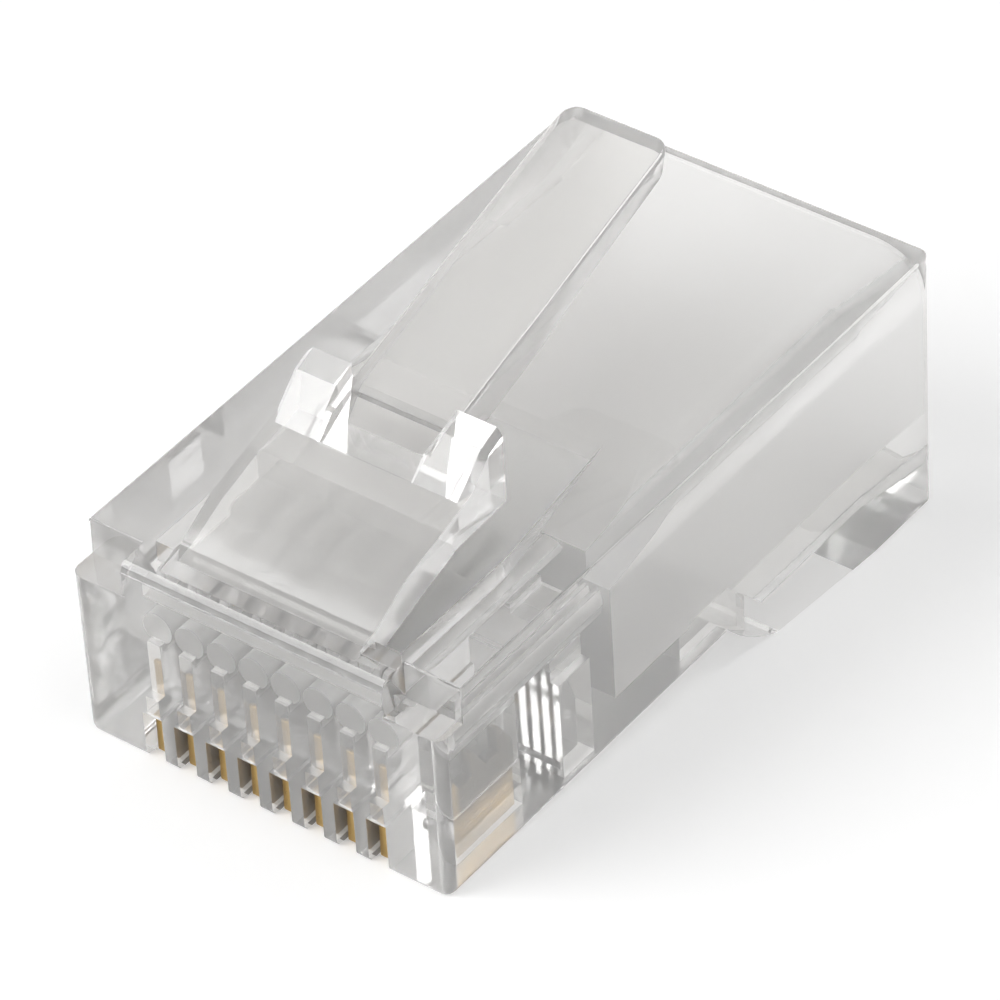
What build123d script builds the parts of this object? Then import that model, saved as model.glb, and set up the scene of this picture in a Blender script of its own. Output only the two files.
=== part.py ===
from build123d import *
import os

# Overall envelope of the plug body
WIDTH = 11.68
LENGTH = 21.4
BODY_HEIGHT = 6.4
FOOT_DROP = 1.87
CORNER_ROUND = 0.35
TOP_ROUND = 0.08
TOUCH = 0.001

# Rear foot, measured back from the front face
FOOT_START = 12.1
FOOT_KNEE = (12.95, -0.78)
FOOT_SHELF = (14.2, -1.46)
FOOT_FLAT = 18.6

# Keying notches at both upper front corners
NOSE_WIDTH = 8.2
NOTCH_DEPTH = 0.92
NOTCH_DROP = 1.15
NOTCH_FLOOR = BODY_HEIGHT - NOTCH_DROP
NOSE_ROUND = 0.4

# Latch pit in the upper face
PIT_WIDTH = 7.7
PIT_DEPTH = 1.35
PIT_FLOOR = BODY_HEIGHT - PIT_DEPTH
PIT_FLAT_END = 5.5
PIT_END = 10.3
PIT_END_WIDTH = 6.6

# Latch root and its living hinge line, heights from the upper face
HINGE_Y = 1.15
HINGE_RISE = -0.15
KNUCKLE_RADIUS = 0.42
KNUCKLE_CLEARANCE = 0.04
HINGE_SIDE_GAP = 0.06
ROOT_RISE = HINGE_RISE + KNUCKLE_RADIUS
ROOT_FRONT = 0.3

# Latch arm, shoulders and lever, heights from the upper face
ARM_WIDTH = 6.1
LEVER_WIDTH = 3.3
LEVER_TIP = 16.05
CREASE = (2.45, 1.0)
SHOULDER_FOOT = (4.9, 1.7)
SHOULDER_CREST = (5.95, 2.7)
LOCK_FACE_Y = 6.62
LOCK_FACE_TOP = 2.95
LEVER_TOP_START = 2.58
LEVER_TOP_END = 5.35
ARM_UNDERSIDE = ((LOCK_FACE_Y, 0.65), (4.6, 0.55), (3.0, 0.05))
LEVER_UNDERSIDE = ((15.85, 4.7), (12.4, 3.52), (10.2, 2.58))
LEVER_THROAT = (7.1, 1.6)
THUMB_RECESS_WIDTH = 2.88
THUMB_RECESS_STEP = 0.1
THUMB_RECESS_END = (6.28, 2.3)
TIP_ROUND = 0.5
LEVER_EDGE_ROUND = 0.12
SHOULDER_BEVEL = 0.18

# Conductor channels under the pit and the chamber behind them
PIT_WALL = 0.45
CHANNEL_RADIUS = 0.46
CHANNEL_CENTRE = 0.55
CHANNEL_FRONT = 1.35
CHAMBER_FRONT = 7.5
CHAMBER_HEIGHT = 1.1
CHAMBER_ROOF = PIT_FLOOR - PIT_WALL
CHAMBER_FLOOR = CHAMBER_ROOF - CHAMBER_HEIGHT
CHANNEL_Z = CHAMBER_ROOF - CHANNEL_CENTRE
TRENCH_FLOOR = 1.0

# Contacts and the comb that holds them
CONTACTS = 8
PITCH = 1.02
BLADE_THICKNESS = 0.35
SLOT_CLEARANCE = 0.03
SLOT_WIDTH = BLADE_THICKNESS + 2 * SLOT_CLEARANCE
COMB_GAP = 0.62
TOE_FRONT = 0.3
TOE_TOP = 1.35
BLADE_REAR = 3.75
TIP_GAP = 0.59
BLADE_TIP = CHANNEL_Z - CHANNEL_RADIUS - TIP_GAP
PRONG_HEIGHT = 0.75
BLADE_BODY_TOP = BLADE_TIP - PRONG_HEIGHT
BLADE_NOSE_ROUND = 0.15
BLADE_HEEL_ROUND = 0.3
PRONGS = 3
PRONG_FRONT = 0.95
PRONG_TIP = 0.12
PRONG_ROOT = 0.6
CRIMP_TRAVEL = 0.6
SLOT_END_GAP = 0.12
SLOT_HEADROOM = 0.1
COMB_GAP_TOP = 1.5
TOE_SLOT_TOP = TOE_TOP + CRIMP_TRAVEL + SLOT_HEADROOM
SLOT_TOP = BLADE_TIP + CRIMP_TRAVEL + SLOT_HEADROOM
COMB_ROUND = 0.2

# Conductor clamp pocket and its bar
CLAMP_POCKET = (5.2, 6.5)
CLAMP_POCKET_WIDTH = 9.6
CLAMP_POCKET_TOP = CHANNEL_Z - 0.95
CLAMP_THROAT_TOP = CHANNEL_Z - 0.3
CLAMP_THROAT_WIDTH = CONTACTS * PITCH
CLAMP_BAR_GAP = 0.3
CLAMP_BAR_BASE = 0.25
CLAMP_WEB = 0.25
CLAMP_BAR_SHOULDER = 1.9
CLAMP_BAR_RIDGE = 2.95

# Cable cavity, floor ramp and lead-in
CAVITY_WIDTH = 9.5
ROOF_WALL = 1.1
CAVITY_ROOF = BODY_HEIGHT - ROOF_WALL
FLOOR_WALL = 1.12
CAVITY_FLOOR = FLOOR_WALL - FOOT_DROP
RAMP_FOOT = 14.2
RAMP_TOP = (10.9, CHAMBER_FLOOR - 0.8)
ROOF_KNEE = 11.2
CAVITY_ROUND = 0.8
LEAD_IN = 2.8
LEAD_IN_FLARE = 0.5

# Cable clamp bar cut out of the floor
CABLE_BAR_FRONT = 10.75
CABLE_BAR_GAP = 0.3
CABLE_BAR_WIDTH = 8.2
CABLE_BAR_SIDE_GAP = 0.25
CABLE_BAR_HINGE = 13.3

# Views: side (back from the front face, up from the contact face), face and plan
SIDE = Plane(origin=(0, -LENGTH / 2, FOOT_DROP), x_dir=(0, 1, 0), z_dir=(1, 0, 0))
LATCH_SIDE = Plane(origin=(0, -LENGTH / 2, FOOT_DROP + BODY_HEIGHT), x_dir=(0, 1, 0), z_dir=(1, 0, 0))
FACE = Plane(origin=(0, -LENGTH / 2, FOOT_DROP), x_dir=(1, 0, 0), z_dir=(0, -1, 0))
PLAN = Plane(origin=(0, -LENGTH / 2, FOOT_DROP), x_dir=(1, 0, 0), z_dir=(0, 0, 1))
BELOW = -FOOT_DROP - 1
ABOVE = BODY_HEIGHT + 1


def front_to_back(y):
    return FACE.offset(-y)


# Clear housing
with BuildPart() as housing:
    with BuildSketch(SIDE):
        with BuildLine():
            Polyline(
                (FOOT_START, 0), (0, 0), (0, BODY_HEIGHT), (LENGTH, BODY_HEIGHT),
                (LENGTH, -FOOT_DROP), (FOOT_FLAT, -FOOT_DROP), FOOT_SHELF,
            )
            ThreePointArc(FOOT_SHELF, FOOT_KNEE, (FOOT_START, 0))
        make_face()
    extrude(amount=WIDTH / 2, both=True)

    # Keying notches leave a narrower nose between them
    with BuildSketch(FACE):
        with Locations((NOSE_WIDTH / 2, NOTCH_FLOOR)):
            Rectangle(WIDTH, ABOVE, align=(Align.MIN, Align.MIN))
        mirror(about=Plane.YZ)
    extrude(amount=-NOTCH_DEPTH, mode=Mode.SUBTRACT)

    # Outer roundings: nose, comb, upright corners, then the rim of the upper face
    front_edges = housing.faces().sort_by(Axis.Y)[0].edges().filter_by(Axis.X).sort_by(Axis.Z)
    fillet(front_edges[-1], NOSE_ROUND)
    fillet(front_edges[0], COMB_ROUND)
    fillet(
        housing.edges().filter_by(Axis.Z).filter_by(
            lambda e: abs(e.center().X) > WIDTH / 2 - TOUCH and abs(e.center().Y) > LENGTH / 2 - TOUCH
        ),
        CORNER_ROUND,
    )
    rim = housing.edges().group_by(Axis.Z)[-1].filter_by(
        lambda e: abs(e.center().X) > NOSE_WIDTH / 2 or e.center().Y > LENGTH / 2 - CORNER_ROUND
    )
    fillet(rim, TOP_ROUND)

    # Latch pit: level under the arm, then ramping out to the upper face
    with BuildSketch(PLAN.offset(PIT_FLOOR)):
        with Locations((0, HINGE_Y)):
            Rectangle(PIT_WIDTH, PIT_FLAT_END - HINGE_Y, align=(Align.CENTER, Align.MIN))
    extrude(amount=ABOVE, mode=Mode.SUBTRACT)
    with BuildSketch(PLAN.offset(PIT_FLOOR)):
        with BuildLine():
            Polyline(
                (PIT_WIDTH / 2, PIT_FLAT_END), (PIT_END_WIDTH / 2, PIT_END),
                (-PIT_END_WIDTH / 2, PIT_END), (-PIT_WIDTH / 2, PIT_FLAT_END), close=True,
            )
        make_face()
    extrude(amount=ABOVE, mode=Mode.SUBTRACT)
    with BuildSketch(SIDE):
        with BuildLine():
            Polyline(
                (PIT_FLAT_END, PIT_FLOOR), (PIT_END, PIT_FLOOR), (PIT_END, BODY_HEIGHT), close=True,
            )
        make_face()
    extrude(amount=PIT_WIDTH / 2, both=True)

    # Raised latch root on the nose with the concave seat of the hinge
    with BuildSketch(LATCH_SIDE):
        with BuildLine():
            Polyline(
                (ROOT_FRONT, -PIT_DEPTH), (HINGE_Y, -PIT_DEPTH), (HINGE_Y, ROOT_RISE),
                (HINGE_Y - KNUCKLE_RADIUS / 2, ROOT_RISE), (ROOT_FRONT, 0), close=True,
            )
        make_face()
    extrude(amount=ARM_WIDTH / 2, both=True)
    with BuildSketch(LATCH_SIDE):
        with Locations((HINGE_Y, HINGE_RISE)):
            Circle(KNUCKLE_RADIUS + KNUCKLE_CLEARANCE)
    extrude(amount=ARM_WIDTH / 2 + HINGE_SIDE_GAP, both=True, mode=Mode.SUBTRACT)

    # Contact slots: wide guides open below, then narrow slots over each blade's toe and prongs
    slot_rear = BLADE_REAR + SLOT_END_GAP
    for start, width, top in (
        (0, COMB_GAP, COMB_GAP_TOP),
        (TOE_FRONT - SLOT_END_GAP, SLOT_WIDTH, TOE_SLOT_TOP),
        (PRONG_FRONT - SLOT_END_GAP, SLOT_WIDTH, SLOT_TOP),
    ):
        with BuildSketch(front_to_back(start)):
            with Locations((0, BELOW)):
                with GridLocations(PITCH, 0, CONTACTS, 1):
                    Rectangle(width, top - BELOW, align=(Align.CENTER, Align.MIN))
        extrude(amount=start - slot_rear, mode=Mode.SUBTRACT)

    # Conductor channels
    with BuildSketch(front_to_back(CHANNEL_FRONT)):
        with Locations((0, CHANNEL_Z)):
            with GridLocations(PITCH, 0, CONTACTS, 1):
                Circle(CHANNEL_RADIUS)
    extrude(amount=CHANNEL_FRONT - CHAMBER_FRONT - CHANNEL_RADIUS, mode=Mode.SUBTRACT)

    # Cable cavity with its ramp up to the conductor chamber
    with BuildPart(mode=Mode.PRIVATE) as cavity:
        with BuildSketch(SIDE):
            with BuildLine():
                Polyline(
                    (CHAMBER_FRONT, CHAMBER_FLOOR), RAMP_TOP, (RAMP_FOOT, CAVITY_FLOOR),
                    (LENGTH, CAVITY_FLOOR), (LENGTH, CAVITY_ROOF), (ROOF_KNEE, CAVITY_ROOF),
                    (CHAMBER_FRONT, CHAMBER_ROOF), close=True,
                )
            make_face()
        extrude(amount=CAVITY_WIDTH / 2, both=True)
        fillet(cavity.edges().filter_by(Axis.Y), CAVITY_ROUND)
    add(cavity.part, mode=Mode.SUBTRACT)

    # Trench under the chamber, between the two clamp bars
    with BuildSketch(SIDE):
        with BuildLine():
            Polyline(
                (CHAMBER_FRONT, TRENCH_FLOOR), (CABLE_BAR_FRONT, TRENCH_FLOOR),
                (CABLE_BAR_FRONT, CHAMBER_FLOOR), (CHAMBER_FRONT, CHAMBER_FLOOR), close=True,
            )
        make_face()
    extrude(amount=CAVITY_WIDTH / 2, both=True, mode=Mode.SUBTRACT)

    # Lead-in at the cable entry
    cavity_height = CAVITY_ROOF - CAVITY_FLOOR
    cavity_middle = (CAVITY_ROOF + CAVITY_FLOOR) / 2
    with BuildSketch(front_to_back(LENGTH - LEAD_IN)):
        with Locations((0, cavity_middle)):
            RectangleRounded(CAVITY_WIDTH, cavity_height, CAVITY_ROUND)
    with BuildSketch(front_to_back(LENGTH)):
        with Locations((0, cavity_middle)):
            RectangleRounded(
                CAVITY_WIDTH + 2 * LEAD_IN_FLARE, cavity_height + 2 * LEAD_IN_FLARE,
                CAVITY_ROUND + LEAD_IN_FLARE,
            )
    loft(mode=Mode.SUBTRACT)

    # Pocket of the conductor clamp, open below, with a narrower throat into the channels
    pocket_front, pocket_rear = CLAMP_POCKET
    for width, top in ((CLAMP_POCKET_WIDTH, CLAMP_POCKET_TOP), (CLAMP_THROAT_WIDTH, CLAMP_THROAT_TOP)):
        with BuildSketch(SIDE):
            with BuildLine():
                Polyline(
                    (pocket_front, BELOW), (pocket_rear, BELOW), (pocket_rear, top), (pocket_front, top),
                    close=True,
                )
            make_face()
        extrude(amount=width / 2, both=True, mode=Mode.SUBTRACT)

    # Clamp bar carried on a thin web
    bar_front = pocket_front + CLAMP_BAR_GAP
    bar_rear = pocket_rear - CLAMP_BAR_GAP
    with BuildSketch(SIDE):
        with BuildLine():
            Polyline(
                (pocket_front, CLAMP_BAR_BASE), (bar_rear, CLAMP_BAR_BASE), (bar_rear, CLAMP_BAR_SHOULDER),
                ((bar_front + bar_rear) / 2, CLAMP_BAR_RIDGE), (bar_front, CLAMP_BAR_SHOULDER),
                (bar_front, CLAMP_BAR_BASE + CLAMP_WEB), (pocket_front, CLAMP_BAR_BASE + CLAMP_WEB),
                close=True,
            )
        make_face()
    extrude(amount=CLAMP_POCKET_WIDTH / 2 - CLAMP_BAR_GAP, both=True)

    # Cable clamp bar freed from the floor on three sides
    with BuildSketch(PLAN.offset(BELOW)):
        with Locations((0, CABLE_BAR_FRONT - CABLE_BAR_GAP)):
            Rectangle(
                CABLE_BAR_WIDTH + 2 * CABLE_BAR_SIDE_GAP,
                CABLE_BAR_HINGE - CABLE_BAR_FRONT + CABLE_BAR_GAP,
                align=(Align.CENTER, Align.MIN),
            )
        with Locations((0, CABLE_BAR_FRONT)):
            Rectangle(
                CABLE_BAR_WIDTH, LENGTH, align=(Align.CENTER, Align.MIN), mode=Mode.SUBTRACT,
            )
    extrude(amount=RAMP_TOP[1] + 0.2 - BELOW, mode=Mode.SUBTRACT)
housing.part.label = "housing"


# Latch: arm with two locking shoulders and a finger lever
with BuildPart() as latch:
    with BuildSketch(LATCH_SIDE):
        with BuildLine():
            Polyline(
                (HINGE_Y, HINGE_RISE), (HINGE_Y, ROOT_RISE), CREASE, SHOULDER_FOOT, SHOULDER_CREST,
                (LOCK_FACE_Y, LOCK_FACE_TOP), *ARM_UNDERSIDE, (HINGE_Y, HINGE_RISE - KNUCKLE_RADIUS),
                close=True,
            )
        make_face()
        with Locations((HINGE_Y, HINGE_RISE)):
            Circle(KNUCKLE_RADIUS)
    extrude(amount=ARM_WIDTH / 2, both=True)
    outer_crests = latch.edges().filter_by(
        lambda e: e.center().Z > FOOT_DROP + BODY_HEIGHT + SHOULDER_FOOT[1]
        and abs(e.center().X) > ARM_WIDTH / 2 - 0.01 and e.center().Y < LOCK_FACE_Y - LENGTH / 2 - 0.01
    )
    chamfer(outer_crests, SHOULDER_BEVEL)

    # Level the crest between the shoulders down to the lever
    lever_slope = (LEVER_TOP_END - LEVER_TOP_START) / (LEVER_TIP - LOCK_FACE_Y)
    arm_start = SHOULDER_FOOT[0] - 1
    with BuildSketch(LATCH_SIDE):
        with BuildLine():
            Polyline(
                (arm_start, LEVER_TOP_START - lever_slope * (LOCK_FACE_Y - arm_start)),
                (LOCK_FACE_Y, LEVER_TOP_START), (LOCK_FACE_Y, LEVER_TOP_END), (arm_start, LEVER_TOP_END),
                close=True,
            )
        make_face()
    extrude(amount=LEVER_WIDTH / 2, both=True, mode=Mode.SUBTRACT)

    with BuildSketch(LATCH_SIDE):
        with BuildLine():
            Polyline(
                (LOCK_FACE_Y - 0.5, LEVER_TOP_START - 0.5 * lever_slope), (LEVER_TIP, LEVER_TOP_END),
                *LEVER_UNDERSIDE, LEVER_THROAT, (LOCK_FACE_Y, ARM_UNDERSIDE[0][1]), close=True,
            )
        make_face()
    extrude(amount=LEVER_WIDTH / 2, both=True)

    # Recess in the front facet between the shoulders, deeper towards the crest
    foot_y, foot_z = SHOULDER_FOOT
    end_y, end_z = THUMB_RECESS_END
    with BuildSketch(LATCH_SIDE):
        with BuildLine():
            Polyline(
                (foot_y, foot_z), (foot_y + THUMB_RECESS_STEP, foot_z - THUMB_RECESS_STEP), (end_y, end_z),
                (end_y, LEVER_TOP_END), (foot_y, LEVER_TOP_END), close=True,
            )
        make_face()
    extrude(amount=THUMB_RECESS_WIDTH / 2, both=True, mode=Mode.SUBTRACT)

    tip_corners = latch.edges().filter_by(
        lambda e: e.center().Y > LEVER_TIP - 0.3 - LENGTH / 2 and abs(e.center().X) > LEVER_WIDTH / 2 - 0.01
        and e.bounding_box().size.Z > 0.3 and e.bounding_box().size.Y < 0.5
    )
    fillet(tip_corners, TIP_ROUND)
    lever_top = latch.faces().filter_by(lambda f: f.normal_at().Z > 0.9).sort_by(SortBy.AREA)[-1]
    lever_rim = lever_top.edges().filter_by(
        lambda e: e.center().Y > LOCK_FACE_Y - LENGTH / 2 + LEVER_EDGE_ROUND
    )
    fillet(lever_rim, LEVER_EDGE_ROUND)
latch.part.label = "latch"


os.makedirs("parts", exist_ok=True)
export_step(housing.part, "parts/housing.step")
export_step(latch.part, "parts/latch.step")


# Contact blades with a toe in front and piercing prongs above, numbered from the left of the mating face
prong_pitch = (BLADE_REAR - PRONG_FRONT - PRONG_ROOT) / (PRONGS - 1)
outline = [(TOE_FRONT, 0), (TOE_FRONT, TOE_TOP), (PRONG_FRONT, TOE_TOP)]
for prong in range(PRONGS):
    tip = PRONG_FRONT + prong * prong_pitch
    if prong:
        outline.append((tip, BLADE_BODY_TOP))
    outline += [(tip, BLADE_TIP), (tip + PRONG_TIP, BLADE_TIP), (tip + PRONG_ROOT, BLADE_BODY_TOP)]
outline.append((BLADE_REAR, 0))

for index in range(CONTACTS):
    with BuildPart() as contact:
        with BuildSketch(SIDE.offset((index - (CONTACTS - 1) / 2) * PITCH)) as blade:
            with BuildLine():
                Polyline(*outline, close=True)
            make_face()
            nose, heel = blade.vertices().group_by(Axis.Y)[0].sort_by(Axis.X)
            fillet(nose, BLADE_NOSE_ROUND)
            fillet(heel, BLADE_HEEL_ROUND)
        extrude(amount=BLADE_THICKNESS / 2, both=True)
    contact.part.label = f"contact_{index + 1}"
    export_step(contact.part, f"parts/contact_{index + 1}.step")
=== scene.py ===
import math

import bmesh
import bpy
from bpy.props import FloatProperty, FloatVectorProperty, IntProperty, PointerProperty
from mathutils import Matrix, Vector


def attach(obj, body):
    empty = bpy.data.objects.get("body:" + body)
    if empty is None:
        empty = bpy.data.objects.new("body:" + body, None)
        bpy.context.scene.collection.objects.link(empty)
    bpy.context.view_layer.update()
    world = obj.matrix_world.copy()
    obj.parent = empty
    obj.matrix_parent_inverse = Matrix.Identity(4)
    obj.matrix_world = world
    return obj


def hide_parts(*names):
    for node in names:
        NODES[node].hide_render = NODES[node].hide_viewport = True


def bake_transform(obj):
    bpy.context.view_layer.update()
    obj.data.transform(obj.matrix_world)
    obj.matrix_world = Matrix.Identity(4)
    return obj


bl_info = {
    "name": "Modular Plug",
    "version": (1, 0, 0),
    "blender": (4, 5, 0),
    "location": "3D View > Sidebar > Plug",
    "description": "Clear eight-contact modular plug with its latch and gilt blades",
    "category": "Object",
}

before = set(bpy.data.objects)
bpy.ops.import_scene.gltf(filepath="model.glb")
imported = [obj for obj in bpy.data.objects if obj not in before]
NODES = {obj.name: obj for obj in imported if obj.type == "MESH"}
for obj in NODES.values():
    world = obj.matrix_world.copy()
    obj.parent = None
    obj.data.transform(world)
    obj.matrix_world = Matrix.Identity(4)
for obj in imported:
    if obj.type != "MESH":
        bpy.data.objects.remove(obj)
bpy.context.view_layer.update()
MM = 0.001

# Lines of the housing that the latch root, the surface zones and the floor are set out from.
# The width runs along x, the length along y from the mating face back, and the height along z.
FRONT_FACE = -10.7 * MM
CONTACT_FACE = 1.87 * MM
UPPER_FACE = CONTACT_FACE + 6.4 * MM
PIT_FLOOR = UPPER_FACE - 1.35 * MM
HINGE_LINE = FRONT_FACE + 1.15 * MM
ROOT_TOP = UPPER_FACE + 0.27 * MM
REAR_FACE = FRONT_FACE + 21.5 * MM
FOOT_EDGE = FRONT_FACE + 18.6 * MM
FOOT_TILT = math.radians(5.86)

# The latch root, and the solid below it that fills the seat of the hinge
ROOT_FRONT = FRONT_FACE + 0.3 * MM
ROOT_STEP = HINGE_LINE - 0.21 * MM
ROOT_HALF_WIDTH = 3.05 * MM
SEAT_FRONT = HINGE_LINE - 0.55 * MM
SEAT_FLOOR = PIT_FLOOR + 0.35 * MM
SEAT_HALF_WIDTH = ROOT_HALF_WIDTH + 0.08 * MM

# Where a ring cuts the arm: above the pit floor and within the width of the root
ARM_FLOOR = PIT_FLOOR + 0.1 * MM
ARM_HALF_WIDTH = ROOT_HALF_WIDTH + 0.02 * MM

# Points closer than the weld become one, and so do faces that meet at less than the flat angle
WELD = 1e-7
FLAT_ANGLE = math.radians(0.2)

# An outer edge is sharp above this angle. The rims that are eased lie near the upper face, clear of the root.
SHARP_ANGLE = math.radians(50)
RIM_LENGTH = 0.6 * MM
RIM_FLOOR = UPPER_FACE - 1.2 * MM
RIM_INNER = ROOT_HALF_WIDTH + 0.3 * MM

# Edges of a rounding are smooth: the largest angle and strip width of the coarse and the fine ones.
# A seam across a nearly flat face is smooth too.
ROUNDINGS = (
    (math.radians(24), 0.35 * MM),
    (math.radians(50), 0.12 * MM),
)
SEAM_ANGLE = math.radians(2)

# Half width, front, bottom and top of the zones inside the moulding: satin walls of the core, then the comb.
# They all run back to the same line, and fade over the border.
# Every zone takes the lighter core tint, painted light that lifts the shade inside the moulding; the core
# zones are satin as well.
CORE_SATIN_AND_PAINTED_LIGHT_ZONES = (
    (4.3 * MM, FRONT_FACE + 1.0 * MM, CONTACT_FACE + 3.4 * MM, PIT_FLOOR + 0.1 * MM),
    (4.3 * MM, FRONT_FACE + 5.3 * MM, CONTACT_FACE + 3.4 * MM, UPPER_FACE - 0.1 * MM),
    (5.4 * MM, FRONT_FACE + 7.3 * MM, CONTACT_FACE + 0.9 * MM, UPPER_FACE - 0.3 * MM),
)
COMB_PAINTED_LIGHT_ZONES = (
    (5.2 * MM, FRONT_FACE + 0.1 * MM, CONTACT_FACE + 0.1 * MM, PIT_FLOOR - 0.2 * MM),
)
ZONE_REAR = REAR_FACE - 0.2 * MM
ZONE_BORDER = 0.1 * MM

# Clear plastic
CLEAR_IOR = 1.585
CLOUD_COLOUR = (0.5, 0.48, 0.44)
CLOUD_SHARE = 0.03
CLEAR_SCUFF_SPACING = 0.9 * MM
CLEAR_SCUFF_ROUGHNESS = 0.10

# Blades: the plating's ragged border and its fades, then tarnish, rolled grain and scuffs
CONTACTS = 8
RAGGED_HEIGHT = 0.4 * MM
PLATING_FADE = 0.5 * MM
NOSE_FADE = 0.3 * MM
TARNISH_SHADE = 0.55
TARNISH_SHARE = 0.35
BLADE_WAVE_SIZE = 0.7 * MM
BLADE_GRAIN_SIZE = 0.04 * MM
BLADE_GRAIN_ROUGHNESS = 0.12
BLADE_SCUFF_SPACING = 0.25 * MM
BLADE_SCUFF_ROUGHNESS = 0.15
BLADE_SCUFF_RELIEF = -0.15
BLADE_RELIEF_HEIGHT = 0.008 * MM
BLADE_EDGE_RADII = 3

# Scuffs: the turn of each set of scratches, how they are drawn out, their half width, and from which level
# of the patches they show to where they are full
SCUFF_TURNS = (0.5, -1.1)
SCUFF_AXIS = (0.3, 0.2, 1.0)
SCUFF_STRETCH = (1.0, 0.08, 1.0)
SCUFF_WIDTH = 0.012
SCUFF_PATCHES = (0.48, 0.62)

# Name, azimuth and elevation in degrees, diameter in metres and power in watts of each softbox
SOFTBOXES = (
    ("front_softbox", -38, 39, 0.42, 1.83),
    ("side_softbox", 82, 12, 0.30, 0.70),
    ("rear_softbox", 150, 50, 0.20, 0.25),
)
SOFTBOX_DISTANCE = 0.5

# The floor, in metres, and how much it adds where the backdrop itself is seen
FLOOR_HALF_SIZE = 1.5
FLOOR_GAP = 0.01 * MM
FLOOR_ROUGHNESS = 0.9
FLOOR_GLOW = 0.28

# The point that the camera aims at, and its shift to the right and up across the view
TARGET = Vector((0, -0.2, 4.37)) * MM
SHIFT_RIGHT = -0.268 * MM
SHIFT_UP = 0.319 * MM

# Light is reflected inside the clear walls more often than the default limits allow
WALL_BOUNCES = 10
PATH_BOUNCES = 12


# Settings

class PlasticSettings(bpy.types.PropertyGroup):
    tint: FloatVectorProperty(
        name="Tint", description="Colour of the clear plastic at its outer faces",
        subtype="COLOR", size=3, min=0, max=1, default=(0.92, 0.913, 0.903))
    # Core tint: the plastic's tint made lighter on the inner faces, painted light that lifts the shade there.
    painted_light_core_tint: FloatVectorProperty(
        name="Core tint", description="Colour of the clear plastic at its inner faces",
        subtype="COLOR", size=3, min=0, max=1, default=(0.985, 0.98, 0.97))
    clarity: FloatProperty(
        name="Clarity", description="Share of the light that passes instead of scattering",
        subtype="FACTOR", min=0, max=1, default=0.84)
    gloss: FloatProperty(
        name="Outer roughness", description="Roughness of the polished outer faces",
        subtype="FACTOR", min=0, max=1, default=0.04)
    core_gloss: FloatProperty(
        name="Core roughness", description="Added roughness where the core pins of the mould stood",
        subtype="FACTOR", min=0, max=1, default=0.5)
    ripple_size: FloatProperty(
        name="Ripple size", description="Width of the faint waves in the moulded faces",
        subtype="DISTANCE", min=0, default=2.4 * MM)
    ripple_height: FloatProperty(
        name="Ripple height", description="Height of the faint waves in the moulded faces",
        subtype="DISTANCE", min=0, default=0.004 * MM)
    edge: FloatProperty(
        name="Edge radius", description="Small radius that the mould leaves on long outer edges",
        subtype="DISTANCE", min=0, default=0.045 * MM)
    hinge: FloatProperty(
        name="Hinge length", description="Length of the latch root that bends",
        subtype="DISTANCE", min=0, default=1.3 * MM)
    hinge_rings: IntProperty(
        name="Hinge rings", description="Rings of points across the bending root", min=2, default=6)


class ContactSettings(bpy.types.PropertyGroup):
    gilt: FloatVectorProperty(
        name="Gilt", description="Colour of the plated lower edge",
        subtype="COLOR", size=3, min=0, max=1, default=(0.50, 0.34, 0.13))
    bronze: FloatVectorProperty(
        name="Bronze", description="Colour of the blade above the plating",
        subtype="COLOR", size=3, min=0, max=1, default=(0.12, 0.096, 0.062))
    plating: FloatProperty(
        name="Plating height", description="Height of the plated zone above the contact face",
        subtype="DISTANCE", min=0, default=1.2 * MM)
    nose: FloatProperty(
        name="Plated nose", description="Depth of the plated zone at the front of the blade",
        subtype="DISTANCE", min=0, default=1.3 * MM)
    gloss: FloatProperty(
        name="Roughness", description="Roughness of the rolled strip",
        subtype="FACTOR", min=0, max=1, default=0.24)
    edge: FloatProperty(
        name="Edge radius", description="Radius that the stamping leaves on the blade edges",
        subtype="DISTANCE", min=0, default=0.03 * MM)


class StageSettings(bpy.types.PropertyGroup):
    floor_colour: FloatVectorProperty(
        name="Floor", description="Colour of the floor",
        subtype="COLOR", size=3, min=0, max=1, default=(0.85, 0.85, 0.85))
    fill: FloatProperty(
        name="Fill", description="Brightness of the even light from all sides",
        subtype="FACTOR", min=0, max=1, default=0.42)
    azimuth: FloatProperty(
        name="Azimuth", description="Camera direction around the plug",
        subtype="ANGLE", default=math.radians(39.056))
    elevation: FloatProperty(
        name="Elevation", description="Camera direction above the horizon",
        subtype="ANGLE", default=math.radians(40.019))
    roll: FloatProperty(
        name="Roll", description="Camera roll about its view",
        subtype="ANGLE", default=math.radians(3.732))
    distance: FloatProperty(
        name="Distance", description="Camera distance from the plug",
        subtype="DISTANCE", default=171.377 * MM)
    lens: FloatProperty(
        name="Lens", description="Focal length in millimetres on a 36 mm sensor", default=238.35)


# Meshes

def link(name, mesh):
    """An object of the mesh in the scene."""
    piece = bpy.data.objects.new(name, mesh)
    bpy.context.scene.collection.objects.link(piece)
    return piece


def welded_copy(node):
    """The mesh of a built piece with its seams closed."""
    mesh = NODES[node].data.copy()
    if "custom_normal" in mesh.attributes:
        mesh.attributes.remove(mesh.attributes["custom_normal"])
    form = bmesh.new()
    form.from_mesh(mesh)
    bmesh.ops.remove_doubles(form, verts=form.verts, dist=WELD)
    form.to_mesh(mesh)
    form.free()
    return mesh


def prism(name, outline, half_width):
    """A straight bar along the width from an outline of (y, z) points."""
    form = bmesh.new()
    left = [form.verts.new((-half_width, y, z)) for y, z in outline]
    right = [form.verts.new((half_width, y, z)) for y, z in outline]
    form.faces.new(left)
    form.faces.new(reversed(right))
    for i in range(len(outline)):
        j = (i + 1) % len(outline)
        form.faces.new((left[i], right[i], right[j], left[j]))
    bmesh.ops.recalc_face_normals(form, faces=form.faces)
    mesh = bpy.data.meshes.new(name)
    form.to_mesh(mesh)
    form.free()
    return link(name, mesh)


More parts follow.
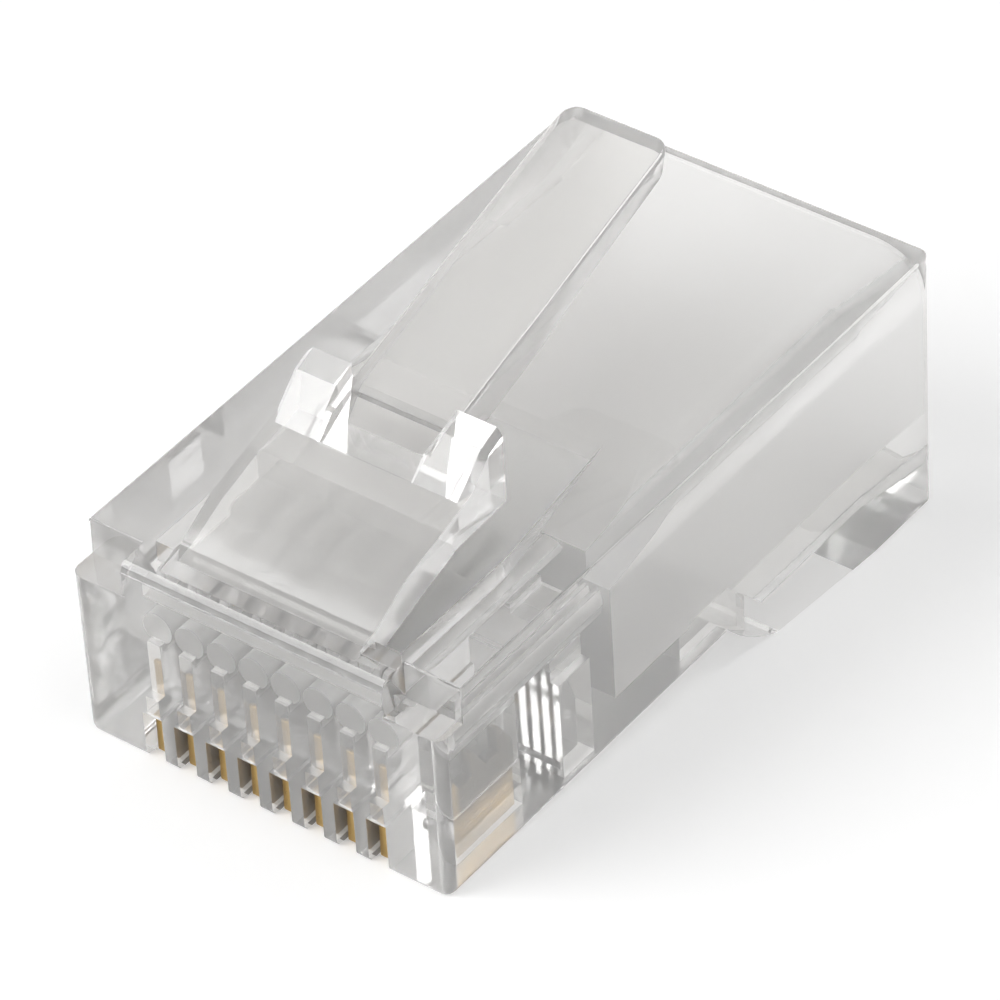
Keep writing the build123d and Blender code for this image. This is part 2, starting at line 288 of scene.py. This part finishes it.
def join_root():
    """Housing and latch as the one moulding that they are, with the root between them filled."""
    body = link("moulding", welded_copy("housing"))
    arm = link("moulding_arm", welded_copy("latch"))
    root = prism("moulding_root", [
        (ROOT_FRONT, PIT_FLOOR), (HINGE_LINE, PIT_FLOOR), (HINGE_LINE, ROOT_TOP),
        (ROOT_STEP, ROOT_TOP), (ROOT_FRONT, UPPER_FACE)], ROOT_HALF_WIDTH)
    seat = prism("moulding_seat", [
        (SEAT_FRONT, SEAT_FLOOR), (HINGE_LINE, SEAT_FLOOR),
        (HINGE_LINE, UPPER_FACE), (SEAT_FRONT, UPPER_FACE)], SEAT_HALF_WIDTH)
    for other in (root, seat, arm):
        join = body.modifiers.new("join", "BOOLEAN")
        join.operation = "UNION"
        join.solver = "EXACT"
        join.object = other
    bpy.context.view_layer.update()
    whole = bpy.data.meshes.new_from_object(body.evaluated_get(bpy.context.evaluated_depsgraph_get()))
    for piece in (body, arm, root, seat):
        bpy.data.objects.remove(piece)
    return flat_form(whole)


def flat_form(mesh):
    """A form of the mesh in which every flat face is one face."""
    form = bmesh.new()
    form.from_mesh(mesh)
    bmesh.ops.remove_doubles(form, verts=form.verts, dist=WELD)
    bmesh.ops.dissolve_limit(form, angle_limit=FLAT_ANGLE, verts=form.verts, edges=form.edges)
    return form


def sharp_edges(form, shortest):
    """The sharp outer edges of a form that are longer than shortest."""
    return [e for e in form.edges if len(e.link_faces) == 2 and e.calc_length() > shortest
            and e.is_convex and e.calc_face_angle(0) > SHARP_ANGLE]


def ease(form, edges, radius):
    """Break the edges by a small radius."""
    bmesh.ops.bevel(form, geom=edges, offset=radius, segments=1, profile=0.5,
                    affect="EDGES", clamp_overlap=False)


def on_upper_rim(edge):
    """True for the rims of the pit and of the notches in the upper face, clear of the latch root."""
    return all(v.co.z > RIM_FLOOR and abs(v.co.x) > RIM_INNER for v in edge.verts)


def cut_ring(form, y):
    """Cut one ring of points across the latch arm."""
    faces = [f for f in form.faces if any(v.co.y > y for v in f.verts) and any(v.co.y < y for v in f.verts)
             and f.calc_center_median().z > ARM_FLOOR
             and all(abs(v.co.x) < ARM_HALF_WIDTH for v in f.verts)]
    geometry = faces + list({e for f in faces for e in f.edges}) + list({v for f in faces for v in f.verts})
    bmesh.ops.bisect_plane(form, geom=geometry, plane_co=(0, y, 0), plane_no=(0, 1, 0), dist=1e-8)


def arm_faces(form):
    """Every face of the latch behind the hinge line, reached from the lever tip."""
    tip = max(form.faces, key=lambda f: f.calc_center_median().z)
    found, todo = {tip}, [tip]
    while todo:
        for e in todo.pop().edges:
            for f in e.link_faces:
                if f not in found and f.calc_center_median().y > HINGE_LINE + 1e-6:
                    found.add(f)
                    todo.append(f)
    return found


def strip_width(face):
    """Mean width of a face across its longest edge."""
    return face.calc_area() / max(e.calc_length() for e in face.edges)


def mark_creases(form):
    """Smooth the edges beside the narrow strips of a rounding, and leave every other edge sharp."""
    for e in form.edges:
        if len(e.link_faces) == 2:
            angle = e.calc_face_angle(0)
            strip = min(strip_width(f) for f in e.link_faces)
            e.smooth = angle < SEAM_ANGLE or any(
                angle < largest and strip < widest for largest, widest in ROUNDINGS)
    for f in form.faces:
        f.smooth = True


def finish_mesh(name, form, material):
    """The finished object of a form, with flat faces shaded flat."""
    mark_creases(form)
    bmesh.ops.triangulate(form, faces=[f for f in form.faces if len(f.verts) > 4])
    mesh = bpy.data.meshes.new(name)
    form.to_mesh(mesh)
    form.free()
    mesh.materials.append(material)
    piece = link(name, mesh)
    flat = piece.modifiers.new("flat_faces", "WEIGHTED_NORMAL")
    flat.keep_sharp = True
    flat.weight = 100
    return piece


# Node groups

def put(tree, kind, sockets=None, **settings):
    """Place a node with its settings, and its sockets set to a value or linked."""
    placed = tree.nodes.new(kind)
    for key, value in settings.items():
        setattr(placed, key, value)
    for key, value in (sockets or {}).items():
        if isinstance(value, bpy.types.NodeSocket):
            tree.links.new(value, placed.inputs[key])
        else:
            placed.inputs[key].default_value = value
    return placed


def maths(tree, operation, *values):
    """The result of a Math node."""
    return put(tree, "ShaderNodeMath", dict(enumerate(values)), operation=operation).outputs[0]


def new_group(name, inputs, outputs):
    """An empty node group with the sockets it is given and the values it puts out."""
    tree = bpy.data.node_groups.new(name, "ShaderNodeTree")
    for socket, kind in inputs:
        tree.interface.new_socket(socket, in_out="INPUT", socket_type=kind)
    for socket in outputs:
        tree.interface.new_socket(socket, in_out="OUTPUT", socket_type="NodeSocketFloat")
    return tree, put(tree, "NodeGroupInput").outputs, put(tree, "NodeGroupOutput")


def place_group(tree, name, sockets):
    """The outputs of a node group placed in a material."""
    return put(tree, "ShaderNodeGroup", sockets, node_tree=bpy.data.node_groups[name]).outputs


def surface_ripple():
    """Broad faint waves and a fine grain, sized in metres."""
    tree, given, out = new_group("surface_ripple", [
        ("Vector", "NodeSocketVector"), ("Wave Size", "NodeSocketFloat"), ("Grain Size", "NodeSocketFloat"),
    ], ["Waves", "Grain"])
    waves = put(tree, "ShaderNodeTexNoise", {
        "Vector": given["Vector"], "Scale": maths(tree, "DIVIDE", 1.0, given["Wave Size"]), "Detail": 1.0})
    grain = put(tree, "ShaderNodeTexNoise", {
        "Vector": given["Vector"], "Scale": maths(tree, "DIVIDE", 1.0, given["Grain Size"]), "Detail": 0.0})
    tree.links.new(waves.outputs["Fac"], out.inputs["Waves"])
    tree.links.new(grain.outputs["Fac"], out.inputs["Grain"])


def fine_scuffs():
    """Short thin handling scratches in two directions, kept to the high parts of Patches."""
    tree, given, out = new_group("fine_scuffs", [
        ("Vector", "NodeSocketVector"), ("Spacing", "NodeSocketFloat"), ("Patches", "NodeSocketFloat"),
    ], ["Scuffs"])
    scale = maths(tree, "DIVIDE", 1.0, given["Spacing"])
    marks = None
    for turn in SCUFF_TURNS:
        turned = put(tree, "ShaderNodeVectorRotate", {
            "Vector": given["Vector"], "Axis": SCUFF_AXIS, "Angle": turn}, rotation_type="AXIS_ANGLE")
        drawn = put(tree, "ShaderNodeVectorMath", {0: turned.outputs[0], 1: SCUFF_STRETCH},
                    operation="MULTIPLY")
        field = put(tree, "ShaderNodeTexNoise", {"Vector": drawn.outputs[0], "Scale": scale, "Detail": 0.0})
        away = maths(tree, "ABSOLUTE", maths(tree, "SUBTRACT", field.outputs["Fac"], 0.5))
        line = put(tree, "ShaderNodeMapRange", {
            "Value": away, "From Min": 0.0, "From Max": SCUFF_WIDTH, "To Min": 1.0, "To Max": 0.0})
        marks = line.outputs[0] if marks is None else maths(tree, "MAXIMUM", marks, line.outputs[0])
    there = put(tree, "ShaderNodeMapRange", {
        "Value": given["Patches"], "From Min": SCUFF_PATCHES[0], "From Max": SCUFF_PATCHES[1]})
    tree.links.new(maths(tree, "MULTIPLY", marks, there.outputs[0]), out.inputs["Scuffs"])


def level_band():
    """One between two levels and nought outside them, with soft borders."""
    tree, given, out = new_group("level_band", [
        ("Value", "NodeSocketFloat"), ("Low", "NodeSocketFloat"), ("High", "NodeSocketFloat"),
        ("Border", "NodeSocketFloat"),
    ], ["Mask"])
    rise = put(tree, "ShaderNodeMapRange", {
        "Value": given["Value"], "From Min": given["Low"],
        "From Max": maths(tree, "ADD", given["Low"], given["Border"])})
    fall = put(tree, "ShaderNodeMapRange", {
        "Value": given["Value"], "From Min": maths(tree, "SUBTRACT", given["High"], given["Border"]),
        "From Max": given["High"], "To Min": 1.0, "To Max": 0.0})
    tree.links.new(maths(tree, "MULTIPLY", rise.outputs[0], fall.outputs[0]), out.inputs["Mask"])


def build_groups():
    for name, build in (("surface_ripple", surface_ripple), ("fine_scuffs", fine_scuffs),
                        ("level_band", level_band)):
        if name not in bpy.data.node_groups:
            build()


# Materials

def new_material(name):
    """A material with its node tree, its shader and the place on the object in metres."""
    build_groups()
    material = bpy.data.materials.new(name)
    material.use_nodes = True
    tree = material.node_tree
    return material, tree, tree.nodes["Principled BSDF"], put(tree, "ShaderNodeTexCoord").outputs["Object"]


def inside_zones(tree, axis, zones):
    """One inside any of the zones, which run back to the rear face."""
    found = 0.0
    for half_width, front, low, high in zones:
        inside = 1.0
        for name, near, far in (("X", -half_width, half_width), ("Y", front, ZONE_REAR), ("Z", low, high)):
            band = place_group(tree, "level_band", {
                "Value": axis[name], "Low": near, "High": far, "Border": ZONE_BORDER})
            inside = maths(tree, "MULTIPLY", inside, band["Mask"])
        found = maths(tree, "MAXIMUM", found, inside)
    return found


def clear_polycarbonate():
    """Clear plastic, polished outside and in the comb, and satin where the core pins of the mould stood. Its
    inner faces take a lighter tint, painted light that lifts the shade inside the moulding.
    """
    s = bpy.context.scene.plug_plastic
    material, tree, shader, place = new_material("clear_polycarbonate")
    shader.inputs["Transmission Weight"].default_value = s.clarity
    shader.inputs["IOR"].default_value = CLEAR_IOR
    ripple = place_group(tree, "surface_ripple", {"Vector": place, "Wave Size": s.ripple_size})
    scuffs = place_group(tree, "fine_scuffs", {
        "Vector": place, "Spacing": CLEAR_SCUFF_SPACING, "Patches": ripple["Waves"]})
    axis = put(tree, "ShaderNodeSeparateXYZ", {"Vector": place}).outputs
    core = inside_zones(tree, axis, CORE_SATIN_AND_PAINTED_LIGHT_ZONES)
    # The lighter tint of the inner zones is painted light that lifts the shade inside the moulding.
    inner = maths(tree, "MAXIMUM", core, inside_zones(tree, axis, COMB_PAINTED_LIGHT_ZONES))
    zones = put(tree, "ShaderNodeMix", {
        "Factor": inner, "A": (*s.tint, 1), "B": (*s.painted_light_core_tint, 1)}, data_type="RGBA")
    clouded = put(tree, "ShaderNodeMix", {
        "Factor": maths(tree, "MULTIPLY", ripple["Waves"], CLOUD_SHARE), "A": zones.outputs["Result"],
        "B": (*CLOUD_COLOUR, 1)}, data_type="RGBA")
    tree.links.new(clouded.outputs["Result"], shader.inputs["Base Color"])
    rough = maths(tree, "ADD", s.gloss, maths(tree, "MULTIPLY", core, s.core_gloss))
    scuffed = maths(tree, "MULTIPLY", scuffs["Scuffs"], CLEAR_SCUFF_ROUGHNESS)
    tree.links.new(maths(tree, "ADD", rough, scuffed), shader.inputs["Roughness"])
    bump = put(tree, "ShaderNodeBump", {
        "Strength": 1.0, "Distance": s.ripple_height, "Height": ripple["Waves"]})
    tree.links.new(bump.outputs["Normal"], shader.inputs["Normal"])
    return material


def gilt_blade():
    """Rolled strip, gold plated along the contact edge and over the nose, and dark bronze above."""
    s = bpy.context.scene.plug_contact
    material, tree, shader, place = new_material("gilt_blade")
    shader.inputs["Metallic"].default_value = 1
    ripple = place_group(tree, "surface_ripple", {
        "Vector": place, "Wave Size": BLADE_WAVE_SIZE, "Grain Size": BLADE_GRAIN_SIZE})
    scuffs = place_group(tree, "fine_scuffs", {
        "Vector": place, "Spacing": BLADE_SCUFF_SPACING, "Patches": ripple["Waves"]})
    axis = put(tree, "ShaderNodeSeparateXYZ", {"Vector": place}).outputs
    ragged = maths(tree, "ADD", axis["Z"], maths(tree, "MULTIPLY", ripple["Waves"], RAGGED_HEIGHT))
    edge_end, nose_end = CONTACT_FACE + s.plating, FRONT_FACE + s.nose
    edge = put(tree, "ShaderNodeMapRange", {
        "Value": ragged, "From Min": edge_end, "From Max": edge_end + PLATING_FADE,
        "To Min": 1.0, "To Max": 0.0}, interpolation_type="SMOOTHSTEP")
    nose = put(tree, "ShaderNodeMapRange", {
        "Value": axis["Y"], "From Min": nose_end, "From Max": nose_end + NOSE_FADE,
        "To Min": 1.0, "To Max": 0.0}, interpolation_type="SMOOTHSTEP")
    metal = put(tree, "ShaderNodeMix", {
        "Factor": maths(tree, "MAXIMUM", edge.outputs[0], nose.outputs[0]),
        "A": (*s.bronze, 1), "B": (*s.gilt, 1)}, data_type="RGBA")
    tarnish = put(tree, "ShaderNodeMix", {
        "Factor": maths(tree, "MULTIPLY", ripple["Waves"], TARNISH_SHARE), "A": metal.outputs["Result"],
        "B": (*(TARNISH_SHADE * c for c in s.bronze), 1)}, data_type="RGBA")
    tree.links.new(tarnish.outputs["Result"], shader.inputs["Base Color"])
    rough = maths(tree, "ADD", s.gloss, maths(tree, "MULTIPLY", ripple["Grain"], BLADE_GRAIN_ROUGHNESS))
    scuffed = maths(tree, "MULTIPLY", scuffs["Scuffs"], BLADE_SCUFF_ROUGHNESS)
    tree.links.new(maths(tree, "ADD", rough, scuffed), shader.inputs["Roughness"])
    cut = maths(tree, "MULTIPLY", scuffs["Scuffs"], BLADE_SCUFF_RELIEF)
    bump = put(tree, "ShaderNodeBump", {
        "Strength": 1.0, "Distance": BLADE_RELIEF_HEIGHT, "Height": maths(tree, "ADD", ripple["Waves"], cut)})
    tree.links.new(bump.outputs["Normal"], shader.inputs["Normal"])
    return material


def seen_rays(tree):
    """One for the rays that see the backdrop itself, also through plastic and in metal."""
    path = put(tree, "ShaderNodeLightPath").outputs
    direct = maths(tree, "MAXIMUM", path["Is Camera Ray"], path["Is Glossy Ray"])
    return maths(tree, "MAXIMUM", direct, path["Is Transmission Ray"])


def pale_floor():
    """White floor that keeps the plug's shadow."""
    s = bpy.context.scene.plug_stage
    material, tree, shader, _ = new_material("pale_floor")
    shader.inputs["Base Color"].default_value = (*s.floor_colour, 1)
    shader.inputs["Roughness"].default_value = FLOOR_ROUGHNESS
    glow = put(tree, "ShaderNodeEmission", {
        "Color": (1, 1, 1, 1), "Strength": maths(tree, "MULTIPLY", seen_rays(tree), FLOOR_GLOW)})
    both = put(tree, "ShaderNodeAddShader", {0: shader.outputs[0], 1: glow.outputs[0]})
    tree.links.new(both.outputs[0], tree.nodes["Material Output"].inputs["Surface"])
    return material


# Operators

def direction(azimuth, elevation):
    """The way from the plug toward a lamp or the camera."""
    return Vector((math.sin(azimuth) * math.cos(elevation), -math.cos(azimuth) * math.cos(elevation),
                   math.sin(elevation)))


class PLUG_OT_moulding(bpy.types.Operator):
    """Make the clear housing and its latch as one moulding, with rings of points cut across the latch root"""
    bl_idname = "plug.moulding"
    bl_label = "Housing and latch"

    def execute(self, context):
        s = context.scene.plug_plastic
        form = join_root()
        ease(form, [e for e in sharp_edges(form, RIM_LENGTH) if on_upper_rim(e)], s.edge)
        for ring in range(s.hinge_rings):
            cut_ring(form, HINGE_LINE + ring / (s.hinge_rings - 1) * s.hinge)
        form.faces.index_update()
        arm = {f.index for f in arm_faces(form)}
        lever = form.copy()
        for part, in_arm in ((form, False), (lever, True)):
            part.faces.ensure_lookup_table()
            other = [f for f in part.faces if (f.index in arm) != in_arm]
            bmesh.ops.delete(part, geom=other, context="FACES")
        plastic = clear_polycarbonate()
        housing = finish_mesh("clear_housing", form, plastic)
        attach(housing, "housing")
        latch = finish_mesh("clear_latch", lever, plastic)
        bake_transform(latch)
        for piece, node in ((housing, "housing"), (latch, "latch")):
            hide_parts(node)
        return {"FINISHED"}


class PLUG_OT_contacts(bpy.types.Operator):
    """Stamp the eight gilt blades with their broken edges"""
    bl_idname = "plug.contacts"
    bl_label = "Contacts"

    def execute(self, context):
        s = context.scene.plug_contact
        metal = gilt_blade()
        for number in range(1, CONTACTS + 1):
            node = f"contact_{number}"
            form = flat_form(welded_copy(node))
            ease(form, sharp_edges(form, BLADE_EDGE_RADII * s.edge), s.edge)
            blade = finish_mesh(f"gilt_blade_{number}", form, metal)
            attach(blade, node)
            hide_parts(node)
        return {"FINISHED"}


class PLUG_OT_stage(bpy.types.Operator):
    """Lay the floor under the tilted foot, hang the softboxes and set the camera"""
    bl_idname = "plug.stage"
    bl_label = "Stage"

    def execute(self, context):
        self.floor()
        self.lights(context.scene)
        self.camera(context.scene)
        return {"FINISHED"}

    def floor(self):
        mesh = bpy.data.meshes.new("floor")
        half = FLOOR_HALF_SIZE
        corners = [(-half, -half, 0), (half, -half, 0), (half, half, 0), (-half, half, 0)]
        mesh.from_pydata(corners, [], [(0, 1, 2, 3)])
        mesh.materials.append(pale_floor())
        floor = link("floor", mesh)
        floor.location = (0, FOOT_EDGE, -FLOOR_GAP)
        floor.rotation_euler = (-FOOT_TILT, 0, 0)

    def lights(self, scene):
        for name, azimuth, elevation, size, power in SOFTBOXES:
            toward = direction(math.radians(azimuth), math.radians(elevation))
            light = bpy.data.lights.new(name, "AREA")
            light.shape = "DISK"
            light.size = size
            light.energy = power
            lamp = bpy.data.objects.new(name, light)
            scene.collection.objects.link(lamp)
            lamp.location = toward * SOFTBOX_DISTANCE
            lamp.rotation_euler = toward.to_track_quat("Z", "Y").to_euler()
        world = bpy.data.worlds.new("white_surround")
        scene.world = world
        world.use_nodes = True
        tree = world.node_tree
        level = put(tree, "ShaderNodeMapRange", {
            "Value": seen_rays(tree), "To Min": scene.plug_stage.fill, "To Max": 1.0})
        surround = tree.nodes["Background"]
        surround.inputs["Color"].default_value = (1, 1, 1, 1)
        tree.links.new(level.outputs[0], surround.inputs["Strength"])

    def camera(self, scene):
        s = scene.plug_stage
        back = direction(s.azimuth, s.elevation)
        right = Vector((math.cos(s.azimuth), math.sin(s.azimuth), 0))
        up = back.cross(right)
        cosine, sine = math.cos(s.roll), math.sin(s.roll)
        right, up = right * cosine - up * sine, right * sine + up * cosine
        place = TARGET + right * SHIFT_RIGHT + up * SHIFT_UP + back * s.distance
        lens = bpy.data.cameras.new("camera")
        lens.lens = s.lens
        lens.sensor_width = 36
        lens.clip_start = 0.01
        lens.clip_end = 10
        camera = bpy.data.objects.new("camera", lens)
        scene.collection.objects.link(camera)
        camera.matrix_world = Matrix.Translation(place) @ Matrix((right, up, back)).transposed().to_4x4()
        scene.camera = camera
        scene.view_settings.view_transform = "Standard"
        scene.cycles.glossy_bounces = scene.cycles.transmission_bounces = WALL_BOUNCES
        scene.cycles.max_bounces = PATH_BOUNCES


class PLUG_PT_panel(bpy.types.Panel):
    bl_idname = "PLUG_PT_panel"
    bl_label = "Modular Plug"
    bl_space_type = "VIEW_3D"
    bl_region_type = "UI"
    bl_category = "Plug"

    def draw(self, context):
        for operator in OPERATORS:
            self.layout.operator(operator.bl_idname)


OPERATORS = (PLUG_OT_moulding, PLUG_OT_contacts, PLUG_OT_stage)
CLASSES = (PlasticSettings, ContactSettings, StageSettings, *OPERATORS, PLUG_PT_panel)


def register():
    for c in CLASSES:
        bpy.utils.register_class(c)
    bpy.types.Scene.plug_plastic = PointerProperty(type=PlasticSettings)
    bpy.types.Scene.plug_contact = PointerProperty(type=ContactSettings)
    bpy.types.Scene.plug_stage = PointerProperty(type=StageSettings)


def unregister():
    del bpy.types.Scene.plug_stage, bpy.types.Scene.plug_contact, bpy.types.Scene.plug_plastic
    for c in reversed(CLASSES):
        bpy.utils.unregister_class(c)


def main():
    register()
    bpy.ops.plug.moulding()
    bpy.ops.plug.contacts()
    bpy.ops.plug.stage()


if __name__ == "__main__":
    main()
